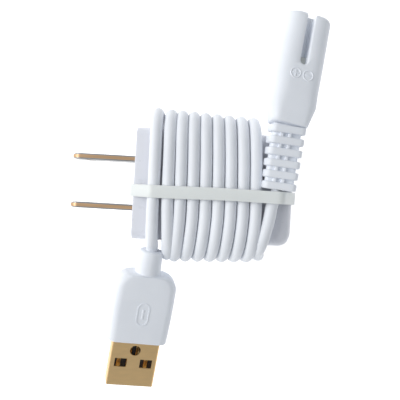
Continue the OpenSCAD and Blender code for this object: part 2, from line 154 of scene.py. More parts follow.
PLUG_TAIL = [
    (5.3, -16.4, 9.7), (5.36, -15.7, 9.93), (5.38, -14.95, 10.7), (5.36, -14.1, 11.6),
    (5.33, -13.1, 12.2), (5.30, -12.1, 12.55), (5.25, -10.6, 12.7), (5.17, -7.6, 12.7),
    (5.14, -4.5, 12.7), (5.14, -2.0, 12.7), (5.14, 0.0, 12.7),
]
CONNECTOR_TAIL = [
    (31.3, -15.9, 8.6), (31.75, -14.4, 11.2), (32.28, -12.3, 12.5), (32.92, -9.7, 12.72),
    (33.35, -7.8, 12.72), (33.7, -5.7, 12.72), (34.0, -3.6, 12.85), (34.5, -1.6, 13.2),
    (35.1, 0.2, 13.6),
]


def strand_x(k):
    """Where strand k crosses the middle of the front face."""
    return FIRST_X if k == 1 else SECOND_X + PITCH * (k - 2)


def round_loop(t, half_y, half_z, r):
    """Point (y, z) at fraction t round a rounded rectangle, from the middle of +Z towards +Y."""
    a, b, arc = half_y - r, half_z - r, math.pi / 2 * r
    way = [a, arc, 2 * b, arc, 2 * a, arc, 2 * b, arc, a]
    s = t * sum(way)
    corners = [(a, b, 90), (a, -b, 0), (-a, -b, -90), (-a, b, 180)]
    starts = [
        (0, half_z, 1, 0), (half_y, b, 0, -1), (a, -half_z, -1, 0), (-half_y, -b, 0, 1),
        (-a, half_z, 1, 0),
    ]
    for i, length in enumerate(way):
        if s <= length or i == len(way) - 1:
            break
        s -= length
    if i % 2 == 0:
        y, z, dy, dz = starts[i // 2]
        return y + dy * s, z + dz * s
    y, z, turned = corners[i // 2]
    angle = math.radians(turned) - s / r
    return y + r * math.cos(angle), z + r * math.sin(angle)


def smooth_value(knots, t):
    """Cubic curve through (t, value) knots."""
    i = max(j for j in range(len(knots) - 1) if knots[j][0] <= t or j == 0)

    def slope(j):
        lo, hi = max(j - 1, 0), min(j + 1, len(knots) - 1)
        return (knots[hi][1] - knots[lo][1]) / (knots[hi][0] - knots[lo][0])

    (t0, v0), (t1, v1) = knots[i], knots[i + 1]
    h = t1 - t0
    u = (t - t0) / h
    return (
        v0 * (1 + 2 * u) * (1 - u) ** 2
        + slope(i) * h * u * (1 - u) ** 2
        + v1 * u * u * (3 - 2 * u)
        - slope(i + 1) * h * u * u * (1 - u)
    )


def turn(k):
    """One turn, from the middle of strand k round the back to the middle of strand k + 1."""
    x0, x1 = strand_x(k), strand_x(k + 1)
    top_lean = TOP_LEAN[min(k, len(TOP_LEAN)) - 1]
    bottom_lean = BOTTOM_LEAN[min(k, len(BOTTOM_LEAN)) - 1]
    knots = [(t, x0 - top_lean * share) for t, share in TOP_WAY]
    knots += [(0.5, (x0 + x1) / 2 + BACK_SHIFT)]
    bottom_way = FIRST_BOTTOM_WAY if k == 1 else BOTTOM_WAY
    knots += [(t, x1 + bottom_lean * share) for t, share in bottom_way]
    top = TOP_REACH - REACH_LOSS[0] * (k - 1)
    bottom = BOTTOM_REACH - REACH_LOSS[1] * (k - 1)
    if k == 1:
        bottom = FIRST_BOTTOM_REACH
    if k == TURNS:
        bottom = LAST_BOTTOM_REACH
    points = []
    for i in range(STEPS):
        t = i / STEPS
        y, z = round_loop(t, LOOP_HALF_Y, FRONT_Z, BEND_R)
        y *= (top if y > 0 else bottom) / LOOP_HALF_Y
        points.append((smooth_value(knots, t), y, z))
    return points


def through(points, steps=6):
    """Denser points on a smooth curve through the given ones."""
    out = []
    for i in range(len(points) - 1):
        near = [min(max(j, 0), len(points) - 1) for j in range(i - 1, i + 3)]
        p0, p1, p2, p3 = (Vector(points[j]) for j in near)
        for step in range(steps):
            u = step / steps
            linear = (p2 - p0) * u
            square = (p0 * 2 - p1 * 5 + p2 * 4 - p3) * u**2
            cubic = (p1 * 3 - p0 - p2 * 3 + p3) * u**3
            out.append(tuple((p1 * 2 + linear + square + cubic) / 2))
    return out + [points[-1]]


def cord_route():
    """From the strain relief back along the last strand, round all the turns and down to the plug."""
    turns = [p for k in range(1, TURNS + 1) for p in turn(k)]
    last_rise = max(i for i, p in enumerate(turns) if p[1] < -10 and p[2] < CONNECTOR_TAIL[0][2] - 0.9)
    points = through(PLUG_TAIL)[:-1] + turns[: last_rise + 1] + through(CONNECTOR_TAIL)
    return [Vector(p) * MM for p in reversed(points)]


def make_cord():
    route = cord_route()
    curve = bpy.data.curves.new("charging_cord", "CURVE")
    curve.dimensions = "3D"
    curve.bevel_depth = 1.0
    curve.bevel_resolution = 6
    curve.use_fill_caps = True
    spline = curve.splines.new("POLY")
    spline.points.add(len(route) - 1)
    for point, p in zip(spline.points, route):
        point.co = (*p, 1.0)
        point.radius = CORD_R * MM
    spline.use_smooth = True
    cord = bpy.data.objects.new("charging_cord", curve)
    scene.collection.objects.link(cord)
    length = sum((b - a).length for a, b in zip(route, route[1:]))
    return cord, length, route


charging_cord, cord_length, cord_points = make_cord()
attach(charging_cord, BODY)
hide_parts("cord_coil", "cord_tail_plug", "cord_tail_connector")


# ---------- mesh tools ----------


def finished(name, mesh, sharp=35.0):
    """Links a mesh as a piece that rides on the body, smooth except over sharp edges."""
    work = bmesh.new()
    work.from_mesh(mesh)
    bmesh.ops.remove_doubles(work, verts=work.verts, dist=1e-7)
    bmesh.ops.recalc_face_normals(work, faces=work.faces)
    work.to_mesh(mesh)
    work.free()
    for polygon in mesh.polygons:
        polygon.use_smooth = True
    mesh.set_sharp_from_angle(angle=math.radians(sharp))
    piece = bpy.data.objects.new(name, mesh)
    scene.collection.objects.link(piece)
    return piece


def section(x, half_w, half_h, r, corner=8, side=3):
    """Ring of points: a rounded rectangle square to X, with its width on Y and height on Z."""
    r = min(r, half_w * 0.999, half_h * 0.999)
    ring = []
    for q, (sw, sh) in enumerate(((1, 1), (-1, 1), (-1, -1), (1, -1))):
        cw, ch = sw * (half_w - r), sh * (half_h - r)
        arc = []
        for i in range(corner + 1):
            a = math.radians(90 * (q + i / corner))
            arc.append((cw + r * math.cos(a), ch + r * math.sin(a)))
        ring += arc
        nw, nh = [(-1, 1), (-1, -1), (1, -1), (1, 1)][q]
        nxt_c = (nw * (half_w - r), nh * (half_h - r))
        a = math.radians(90 * (q + 1))
        nxt = (nxt_c[0] + r * math.cos(a), nxt_c[1] + r * math.sin(a))
        for i in range(1, side):
            f = i / side
            w = arc[-1][0] + (nxt[0] - arc[-1][0]) * f
            h = arc[-1][1] + (nxt[1] - arc[-1][1]) * f
            ring.append((w, h))
    return [Vector((x, w, h)) for w, h in ring]


def loft(name, rings, place=None, loop=False, sharp=35.0):
    """Closed mesh through rings of equal length; a loop joins the last ring to the first."""
    place = place or Matrix.Identity(4)
    n, count = len(rings[0]), len(rings)
    points = [(place @ p) * MM for ring in rings for p in ring]
    faces = []
    for i in range(count if loop else count - 1):
        j = (i + 1) % count
        for k in range(n):
            m = (k + 1) % n
            faces.append((i * n + k, i * n + m, j * n + m, j * n + k))
    if not loop:
        faces.append(tuple(reversed(range(n))))
        faces.append(tuple(range((count - 1) * n, count * n)))
    mesh = bpy.data.meshes.new(name)
    mesh.from_pydata([tuple(p) for p in points], [], faces)
    return finished(name, mesh, sharp)


def rounding(x, r, outwards=True, steps=5):
    """(x, inset) pairs of a quarter-round edge that ends at x; outwards ends at the far side."""
    pairs = []
    for i in range(steps + 1):
        a = math.radians(90 * i / steps)
        pairs.append((r * math.sin(a) - r, r * (1 - math.cos(a))))
    if outwards:
        return [(x + dx, inset) for dx, inset in pairs]
    return [(x - dx, inset) for dx, inset in reversed(pairs)]


def combine(target, tool, operation):
    """Cuts tool out of target, or joins it on, and removes tool."""
    change = target.modifiers.new("change", "BOOLEAN")
    change.operation = operation
    change.solver = "EXACT"
    change.object = tool
    graph = bpy.context.evaluated_depsgraph_get()
    mesh = bpy.data.meshes.new_from_object(target.evaluated_get(graph))
    target.modifiers.clear()
    target.data = mesh
    bpy.data.objects.remove(tool)


def settle(piece, sharp=35.0):
    """Cleans a mesh after its cuts."""
    work = bmesh.new()
    work.from_mesh(piece.data)
    bmesh.ops.remove_doubles(work, verts=work.verts, dist=2e-6)
    bmesh.ops.dissolve_degenerate(work, edges=work.edges, dist=1e-6)
    bmesh.ops.recalc_face_normals(work, faces=work.faces)
    work.to_mesh(piece.data)
    work.free()
    for polygon in piece.data.polygons:
        polygon.use_smooth = True
    piece.data.set_sharp_from_angle(angle=math.radians(sharp))


def bevel(r):
    """(distance from the end, inset) pairs of a soft edge, from the end inwards."""
    return [(0, r), (r * 0.3, r * 0.3), (r, 0)]


def block(low, high, place, r=0.15):
    """Rounded box, for cutting and for small raised marks."""
    half_x, half_w, half_h = ((b - a) / 2 for a, b in zip(low, high))
    mid = [(b + a) / 2 for a, b in zip(low, high)]
    shift = place @ Matrix.Translation(mid)
    rings = [section(e - half_x, half_w - g, half_h - g, r, 3, 1) for e, g in bevel(r)]
    rings += [section(half_x - e, half_w - g, half_h - g, r, 3, 1) for e, g in reversed(bevel(r))]
    return loft("block", rings, shift)


def rod(start, end, r, place, sides=32):
    """Plain round cutter between two points along one axis."""
    a, b = Vector(start), Vector(end)
    turn_to = (b - a).to_track_quat("X", "Z").to_matrix().to_4x4()
    along = (b - a).length
    angles = [2 * math.pi * i / sides for i in range(sides)]
    rings = [[Vector((x, r * math.cos(a), r * math.sin(a))) for a in angles] for x in (0, along)]
    return loft("rod", rings, place @ Matrix.Translation(a) @ turn_to)


def ring_mark(centre, radius, thick, place):
    """Raised ring lying square to Z."""
    rings = []
    for i in range(40):
        a = 2 * math.pi * i / 40
        out = Vector((math.cos(a), math.sin(a), 0))
        rings.append([
            Vector(centre) + out * (radius + thick * math.cos(b)) + Vector((0, 0, thick * math.sin(b)))
            for b in (2 * math.pi * j / 8 for j in range(8))
        ])
    return loft("ring", rings, place, loop=True)


def cord_socket(depth):
    """Rings of the round hole that the cord goes into, from its bottom to its mouth."""
    return [section(x, CORD_R + 0.01, CORD_R + 0.01, CORD_R) for x in (depth, 0)]


# ---------- frames of the plug and of the appliance connector ----------

mounts = {m["name"]: m for m in frame["record"]["mounts"]}


def mount_point(name):
    return Vector(mounts[name]["pos_m"]) / MM


def basis(origin, along, width):
    """Local X runs along, Y across, with Z the face that shows."""
    x = along.normalized()
    z = x.cross(width).normalized()
    y = z.cross(x)
    return Matrix.Translation(origin) @ Matrix((x, y, z)).transposed().to_4x4()


def plug_frame():
    """Starts at the collar's top."""
    along = Vector(mounts["usb_plug"]["axis"])
    tip = mount_point("usb_plug")
    start = tip - along * (COLLAR_L + PLUG.x + PLUG_SHELL.x)
    level = Vector((0, 0, 1)).cross(along).normalized()
    return basis(start, along, Matrix.Rotation(math.radians(PLUG_ROLL), 3, along) @ level)


def connector_frame():
    """Starts at the neck."""
    along = Vector(mounts["connector_socket_plus"]["axis"])
    plus, minus = mount_point("connector_socket_plus"), mount_point("connector_socket_minus")
    middle = CONNECTOR.x - SLEEVE_END - SLEEVE_L / 2
    return basis((plus + minus) / 2 - along * middle, along, plus - minus)


PLUG_AT = plug_frame()
CONNECTOR_AT = connector_frame()
POLE_GAP = (mount_point("connector_socket_plus") - mount_point("connector_socket_minus")).length
RELIEF_START = Vector(CONNECTOR_TAIL[-1])
HOME = Matrix.Identity(4)


# ---------- materials ----------


def new_material(name):
    material = bpy.data.materials.new(name)
    material.use_nodes = True
    nodes, links = material.node_tree.nodes, material.node_tree.links
    return material, nodes, links, nodes["Principled BSDF"]


def noise(nodes, links, scale, detail=4.0, stretch=(1, 1, 1), turned=(0, 0, 0)):
    """Noise in the piece's own coordinates; scale is in features per metre."""
    where = nodes.new("ShaderNodeTexCoord")
    mapping = nodes.new("ShaderNodeMapping")
    mapping.inputs["Scale"].default_value = stretch
    mapping.inputs["Rotation"].default_value = turned
    texture = nodes.new("ShaderNodeTexNoise")
    texture.inputs["Scale"].default_value = scale
    texture.inputs["Detail"].default_value = detail
    links.new(where.outputs["Object"], mapping.inputs["Vector"])
    links.new(mapping.outputs["Vector"], texture.inputs["Vector"])
    return texture.outputs["Fac"]


def ramp(nodes, links, value, stops):
    """Colour ramp through (position, colour) stops."""
    node = nodes.new("ShaderNodeValToRGB")
    elements = node.color_ramp.elements
    while len(elements) < len(stops):
        elements.new(0.5)
    for element, (position, colour) in zip(elements, stops):
        element.position = position
        element.color = (*colour, 1.0)
    links.new(value, node.inputs["Fac"])
    return node.outputs["Color"]


def spread(nodes, links, value, low, high):
    node = nodes.new("ShaderNodeMapRange")
    node.inputs["From Min"].default_value = 0.3
    node.inputs["From Max"].default_value = 0.7
    node.inputs["To Min"].default_value = low
    node.inputs["To Max"].default_value = high
    links.new(value, node.inputs["Value"])
    return node.outputs["Result"]


def bump(nodes, links, value, depth, shader, strength=1.0):
    node = nodes.new("ShaderNodeBump")
    node.inputs["Distance"].default_value = depth
    node.inputs["Strength"].default_value = strength
    links.new(value, node.inputs["Height"])
    links.new(node.outputs["Normal"], shader.inputs["Normal"])


def scaled(colour, k):
    return tuple(min(1.0, c * k) for c in colour)


def plastic(name, colour, rough=(0.3, 0.4), grain=2600, depth=6e-6, ior=1.49, soft=0.0, vary=0.03):
    """Moulded plastic: slow colour drift, fine surface grain and uneven polish."""
    material, nodes, links, shader = new_material(name)
    drift = noise(nodes, links, 90, 3)
    stops = [(0.3, scaled(colour, 1 - vary)), (0.7, scaled(colour, 1 + vary))]
    links.new(ramp(nodes, links, drift, stops), shader.inputs["Base Color"])
    fine = noise(nodes, links, grain, 3)
    links.new(spread(nodes, links, noise(nodes, links, 420, 4), *rough), shader.inputs["Roughness"])
    bump(nodes, links, fine, depth, shader)
    shader.inputs["IOR"].default_value = ior
    if soft:
        shader.inputs["Subsurface Weight"].default_value = soft
        shader.inputs["Subsurface Radius"].default_value = (0.9, 0.85, 0.8)
        shader.inputs["Subsurface Scale"].default_value = 0.0012
    return material


def metal(name, colour, rough=(0.22, 0.34), grain=900, stretch=(1, 1, 1), turned=(0, 0, 0), vary=0.08):
    """Plated or bare metal: drawn streaks in colour, polish and surface."""
    depth = 2e-6
    material, nodes, links, shader = new_material(name)
    shader.inputs["Metallic"].default_value = 1.0
    streaks = noise(nodes, links, grain, 6, stretch, turned)
    stops = [(0.25, scaled(colour, 1 - vary)), (0.75, scaled(colour, 1 + vary))]
    links.new(ramp(nodes, links, streaks, stops), shader.inputs["Base Color"])
    links.new(spread(nodes, links, streaks, *rough), shader.inputs["Roughness"])
    bump(nodes, links, noise(nodes, links, grain * 2, 4, stretch, turned), depth, shader)
    return material


PLUG_TURN = tuple(PLUG_AT.inverted().to_euler())

FINISHES = {
    "shell_plastic": plastic("shell_plastic", (0.735, 0.75, 0.81), (0.26, 0.36), 3000, 4e-6, soft=0.08),
    "cord_jacket": plastic("cord_jacket", (0.83, 0.855, 0.90), (0.44, 0.56), 2200, 5e-6, 1.43, 0.10),
    "moulded_white": plastic("moulded_white", (0.85, 0.88, 0.935), (0.46, 0.60), 3400, 7e-6, 1.43, 0.10),
    "band_rubber": plastic("band_rubber", (0.80, 0.83, 0.82), (0.30, 0.46), 1500, 8e-6, 1.52, 0.25),
    "prong_edge": metal("prong_edge", (0.56, 0.37, 0.22), (0.42, 0.55), 1200, (0.08, 1, 1), vary=0.12),
    "prong_flat": metal("prong_flat", (0.34, 0.345, 0.35), (0.34, 0.44), 1500, (0.08, 1, 1), vary=0.05),
    "plated_shell": metal(
        "plated_shell", (0.84, 0.59, 0.30), (0.40, 0.50), 1600, (0.15, 1, 1), PLUG_TURN, vary=0.04
    ),
    "nickel_steel": metal("nickel_steel", (0.72, 0.72, 0.73), (0.20, 0.32), 1300, (0.1, 1, 1)),
    "gold_contacts": metal("gold_contacts", (0.86, 0.64, 0.30), (0.18, 0.28), 1600),
    "socket_brass": metal("socket_brass", (0.76, 0.58, 0.28), (0.22, 0.36), 1400),
    "spring_copper": metal("spring_copper", (0.74, 0.42, 0.26), (0.28, 0.42), 1200),
    "ferrite": plastic("ferrite", (0.07, 0.07, 0.075), (0.55, 0.75), 2600, 2e-5, vary=0.2),
    "black_plastic": plastic("black_plastic", (0.035, 0.035, 0.04), (0.42, 0.6), 3600, 8e-6, vary=0.15),
    "board_laminate": plastic("board_laminate", (0.03, 0.16, 0.07), (0.25, 0.4), 1800, 8e-6, vary=0.18),
    "winding_tape": plastic("winding_tape", (0.74, 0.52, 0.08), (0.15, 0.28), 700, 2e-5, vary=0.08),
    "resistor_coat": plastic("resistor_coat", (0.16, 0.36, 0.25), (0.4, 0.55), 2600, 1e-5, vary=0.1),
    "capacitor_sleeve": plastic("capacitor_sleeve", (0.03, 0.05, 0.14), (0.18, 0.3), 1200, 6e-6, vary=0.1),
    "choke_sleeve": plastic("choke_sleeve", (0.05, 0.20, 0.10), (0.2, 0.34), 1200, 8e-6, vary=0.1),
    "safety_blue": plastic("safety_blue", (0.06, 0.16, 0.46), (0.3, 0.45), 2000, 1e-5, vary=0.08),
    "insulator_plastic": plastic("insulator_plastic", (0.80, 0.80, 0.77), (0.35, 0.5), 2600, 8e-6),
    "inner_mould": plastic("inner_mould", (0.62, 0.64, 0.61), (0.4, 0.55), 2200, 1e-5),
}


def keep(piece, slot, *nodes, materials=None):
    """A finished piece: its body, the CAD nodes that it stands for and its finish."""
    piece.data.materials.clear()
    for name in materials or [slot]:
        piece.data.materials.append(FINISHES[name])
    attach(piece, BODY)
    if nodes:
        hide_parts(*nodes)
    return piece


charging_cord.data.materials.append(FINISHES["cord_jacket"])


# ---------- charger ----------


def make_main_shell():
    """Open at the wall end, with a slight draft, a rounded port end and the port's hole."""
    half_w, half_h, length = HOUSING.y / 2, HOUSING.z / 2, HOUSING.x
    port_gap, draft, rim, soft, lip = 0.45, 0.25, 0.28, 0.08, 0.12
    port_w, port_h = PORT[0] / 2 + port_gap, PORT[1] / 2 + port_gap
    rings = [section(0, half_w - rim, half_h - rim, EDGE_R - rim)]
    rings.append(section(soft, half_w - soft, half_h - soft, EDGE_R - soft))
    rings.append(section(rim, half_w, half_h, EDGE_R))
    for i in range(1, 8):
        x = rim + (length - END_R - rim) * i / 7
        inset = draft * i / 7
        rings.append(section(x, half_w - inset, half_h - inset, EDGE_R))
    for x, inset in rounding(length, END_R, steps=8)[1:]:
        radius = max(EDGE_R - inset * 0.5, 0.8)
        rings.append(section(x, half_w - draft - inset, half_h - draft - inset, radius))
    rings += [
        section(length, port_w + 0.5, port_h + 0.5, 0.8),
        section(length, port_w + lip, port_h + lip, 0.5),
        section(length - lip, port_w, port_h, 0.4), section(length - WALL, port_w, port_h, 0.4),
        section(length - WALL, half_w - WALL - END_R, half_h - WALL - END_R, 1.0),
        section(length - WALL - END_R, half_w - WALL - draft, half_h - WALL - draft, EDGE_R - WALL / 2),
        section(0.3, half_w - WALL, half_h - WALL, EDGE_R - WALL / 2),
        section(0, half_w - WALL + lip, half_h - WALL + lip, EDGE_R - WALL / 2),
    ]
    return keep(loft("main_shell_body", rings, HOME, loop=True), "shell_plastic", "main_shell")


def make_prong(name, side):
    """Blade with a hole near its nose, rounded corners and broken edges; flats plated, edges bare."""
    thick, half = PRONG.y / 2, PRONG.z / 2
    x0, x1, corner = -PRONG.x, PRONG_ROOT, PRONG_CORNER
    hole = Vector((x0 + PRONG_HOLE_X, 0))
    count, edge, nose_r, plated, bevel_r = 96, 0.2, 0.7, 0.42, 0.12

    def reach(direction):
        lo, hi = 0.0, 60.0
        for _ in range(40):
            mid = (lo + hi) / 2
            p = hole + direction * mid
            inside = x0 <= p.x <= x1 and abs(p.y) <= half
            if inside and p.x < x0 + corner and abs(p.y) > half - corner:
                inside = math.hypot(p.x - x0 - corner, abs(p.y) - half + corner) <= corner
            lo, hi = (mid, hi) if inside else (lo, mid)
        return lo

    bends = [math.atan2(s * half, x1 - hole.x) for s in (-1, 1)]
    angles = sorted([2 * math.pi * i / count - math.pi for i in range(count)] + bends)
    ways = [Vector((math.cos(a), math.sin(a))) for a in angles]
    spans = [reach(w) for w in ways]
    nose_x = [x0 + corner - hole.x - w.x * d for w, d in zip(ways, spans)]
    nose = [min(1.0, max(0.0, x / (corner - 0.3))) for x in nose_x]
    edges = [edge + (nose_r - edge) * n * n * (3 - 2 * n) for n in nose]

    def ring(distance, ys):
        return [Vector((hole.x + w.x * d, y, w.y * d)) for w, d, y in zip(ways, distance, ys)]

    def edge_ring(turned, s):
        distance = [d - e * (1 - math.cos(turned)) for d, e in zip(spans, edges)]
        return ring(distance, [s * (thick - e * (1 - math.sin(turned))) for e in edges])

    hole_in, hole_out = [PRONG_HOLE_R] * len(ways), [PRONG_HOLE_R + bevel_r] * len(ways)
    rings = [ring(hole_out, [thick] * len(ways))]
    for turned in range(90, -1, -15):
        rings.append(edge_ring(math.radians(turned), 1))
    rings += [ring(spans, [s * min(plated, thick - e) for e in edges]) for s in (1, -1)]
    for turned in range(0, 91, 15):
        rings.append(edge_ring(math.radians(turned), -1))
    rings += [
        ring(hole_out, [-thick] * len(ways)), ring(hole_in, [bevel_r - thick] * len(ways)),
        ring(hole_in, [thick - bevel_r] * len(ways)),
    ]
    place = Matrix.Translation((0, side * PRONG_GAP / 2, 0))
    prong = loft(name + "_blade", rings, place, loop=True, sharp=30)
    keep(prong, "prong_metal", name, materials=["prong_edge", "prong_flat"])
    for polygon in prong.data.polygons:
        across = abs(polygon.center.y / MM - side * PRONG_GAP / 2)
        polygon.material_index = 1 if across > plated else 0
    return prong


def hull(points):
    """Convex outline of 2D points, anticlockwise."""
    points = sorted(set(points))

    def turns_right(a, b, c):
        return (b[0] - a[0]) * (c[1] - a[1]) - (b[1] - a[1]) * (c[0] - a[0]) <= 0

    def half_of(seq):
        out = []
        for p in seq:
            while len(out) > 1 and turns_right(out[-2], out[-1], p):
                out.pop()
            out.append(p)
        return out[:-1]

    return half_of(points) + half_of(reversed(points))


def make_band():
    """Flat band stretched over the housing's ends, the turns and the cord's tail."""
    gap = 0.06
    anchors = []
    for z in (-1, 1):
        anchors.append((0.05, z * (HOUSING.z / 2 - 0.2), 0.2 + gap))
        anchors.append((HOUSING.x - END_R, z * (HOUSING.z / 2 - END_R), END_R + gap))
    for p in cord_points:
        x, y, z = p / MM
        if abs(y - BAND_Y) < BAND_W / 2 + 0.5:
            anchors.append((x, z, CORD_R + gap))
    ring_points = []
    for x, z, r in anchors:
        ring_points += [
            (round(x + r * math.cos(a), 4), round(z + r * math.sin(a), 4))
            for a in (2 * math.pi * i / 72 for i in range(72))
        ]
    outline = hull(ring_points)
    closed = outline + outline[:1]
    spans = [math.dist(a, b) for a, b in zip(closed, closed[1:])]
    total, count = sum(spans), 260
    path, at, i = [], 0.0, 0
    for k in range(count):
        target = total * k / count
        while at + spans[i] < target:
            at += spans[i]
            i += 1
        f = (target - at) / spans[i]
        (x0, z0), (x1, z1) = closed[i], closed[i + 1]
        path.append(Vector((x0 + (x1 - x0) * f, z0 + (z1 - z0) * f)))
    rings = []
    for k, p in enumerate(path):
        ahead, behind = path[(k + 1) % count], path[k - 1]
        run = (ahead - behind).normalized()
        out = Vector((run.y, -run.x))
        phase = 2 * math.pi * k / count
        drift = 0.10 * math.sin(phase * 2 + 0.6) + 0.05 * math.sin(phase * 5)
        width = BAND_W * (1 + 0.02 * math.sin(phase * 3))
        r = 0.14
        ring = []
        for w, t, first in ((-1, 0, 180), (1, 0, 270), (1, 1, 0), (-1, 1, 90)):
            for bit in range(3):
                a = math.radians(first + 45 * bit)
                cw = w * (width / 2 - r) + r * math.cos(a)
                ct = (r if t == 0 else BAND_T - r) + r * math.sin(a)
                ring.append(Vector((p.x + out.x * ct, BAND_Y + drift + cw, p.y + out.y * ct)))
        rings.append(ring)
    return keep(loft("rubber_band_loop", rings, HOME, loop=True, sharp=50), "band_rubber", "rubber_band")


make_main_shell()
make_prong("prong_upper", 1)
make_prong("prong_lower", -1)
make_band()


# ---------- USB plug ----------


def make_plug_cover():
    """Round collar that opens into the flat cover, hollow where the shell goes in."""
    half_w, half_h = PLUG.y / 2, PLUG.z / 2
    x0, x1 = COLLAR_L, COLLAR_L + PLUG.x
    top_r, foot_r, face_r, corner = 2.95, 3.2, 2.2, 3.4
    narrower, thinner = 0.1, 0.06
    rings = cord_socket(0.5)
    rings += [section(x, top_r - inset, top_r - inset, 9) for x, inset in rounding(0, 0.5, False, 4)]
    for i in range(2, 7):
        r = top_r + (foot_r - top_r) * i / 6
        rings.append(section(x0 * i / 6 - (0.15 if i == 6 else 0), r, r, 9))
    rings.append(section(x0 + 0.02, foot_r + 0.25, foot_r + 0.1, 3.2))
    for i in range(1, 10):
        a = math.radians(90 * i / 9)
        x = x0 + corner * (1 - math.cos(a))
        w = half_w - corner + corner * math.sin(a)
        lift = min(1.0, 0.86 + 0.14 * math.sin(a)) if i > 1 else 0.8
        rings.append(section(x, w, half_h * lift, face_r))
    for i in range(1, 9):
        f = i / 8
        bulge = 0.12 * math.sin(math.pi * f)
        x = x0 + corner + (x1 - 0.5 - x0 - corner) * f
        rings.append(section(x, half_w + bulge - narrower * f, half_h - thinner * f, face_r))
    for x, inset in rounding(x1, 0.45, steps=4)[1:]:
        rings.append(section(x, half_w - narrower - inset, half_h - thinner - inset, 2.1))
    mouth_w, mouth_h = PLUG_SHELL.y / 2 + 0.02, PLUG_SHELL.z / 2 + 0.02
    rings += [section(x1, mouth_w + 0.1, mouth_h + 0.1, 0.6), section(x1 - 0.1, mouth_w, mouth_h, 0.55)]
    rings += [section(x1 - SHELL_DEPTH, mouth_w, mouth_h, 0.55)]
    cover = loft("usb_plug_cover_moulding", rings, PLUG_AT, sharp=40)
    mark_x, top = x0 + 9.6, half_h - 0.02
    outer, inner = (3.0, 1.55), (2.72, 1.27)
    rings = []
    for (a, b), z in ((outer, top - 0.3), (outer, top + 0.10), (inner, top + 0.10), (inner, top - 0.3)):
        rings.append([Vector((mark_x + p.y, p.z, z)) for p in section(0, a, b, b)])
    combine(cover, loft("mark", rings, PLUG_AT, loop=True), "UNION")
    bar = block((mark_x - 1.3, -0.28, top - 0.3), (mark_x + 1.3, 0.28, top + 0.1), PLUG_AT, 0.1)
    combine(cover, bar, "UNION")
    settle(cover, 40)
    return keep(cover, "moulded_white", "usb_plug_cover")


def make_plug_shell():
    """Folded sheet shell with two windows and a hole in each face, and a seam under it."""
    half_w, half_h, skin = PLUG_SHELL.y / 2, PLUG_SHELL.z / 2, 0.3
    x0 = COLLAR_L + PLUG.x - SHELL_DEPTH
    x1 = COLLAR_L + PLUG.x + PLUG_SHELL.x
    rings = [
        section(x0, half_w, half_h, 0.5),
        section(x1 - 0.08, half_w, half_h, 0.5),
        section(x1 - 0.02, half_w - 0.03, half_h - 0.03, 0.48),
        section(x1, half_w - 0.1, half_h - 0.1, 0.45),
        section(x1, half_w - skin + 0.08, half_h - skin + 0.08, 0.3),
        section(x1 - 0.1, half_w - skin, half_h - skin, 0.25),
        section(x0, half_w - skin, half_h - skin, 0.25),
    ]
    shell = loft("usb_plug_shell_sheet", rings, PLUG_AT, loop=True, sharp=40)
    window_x, window_y, window_half_w, hole_x, hole_r, through_z = (7.4, 5.1), 3.2, 1.55, 9.7, 1.35, 0.6
    for z in (-half_h, half_h):
        for y in (-window_y, window_y):
            low = (x1 - window_x[0], y - window_half_w, z - through_z)
            high = (x1 - window_x[1], y + window_half_w, z + through_z)
            combine(shell, block(low, high, PLUG_AT, 0.12), "DIFFERENCE")
        low, high = (x1 - hole_x, 0, z - through_z), (x1 - hole_x, 0, z + through_z)
        combine(shell, rod(low, high, hole_r, PLUG_AT, 40), "DIFFERENCE")
    seam = block((x0 - 1, -0.03, -half_h - 0.1), (x1 + 1, 0.03, -half_h + 0.12), PLUG_AT, 0.01)
    combine(shell, seam, "DIFFERENCE")
    settle(shell, 40)
    return keep(shell, "plated_shell", "usb_plug_shell")


usb_plug_cover = make_plug_cover()
usb_plug_shell = make_plug_shell()


# ---------- appliance connector and its strain relief ----------


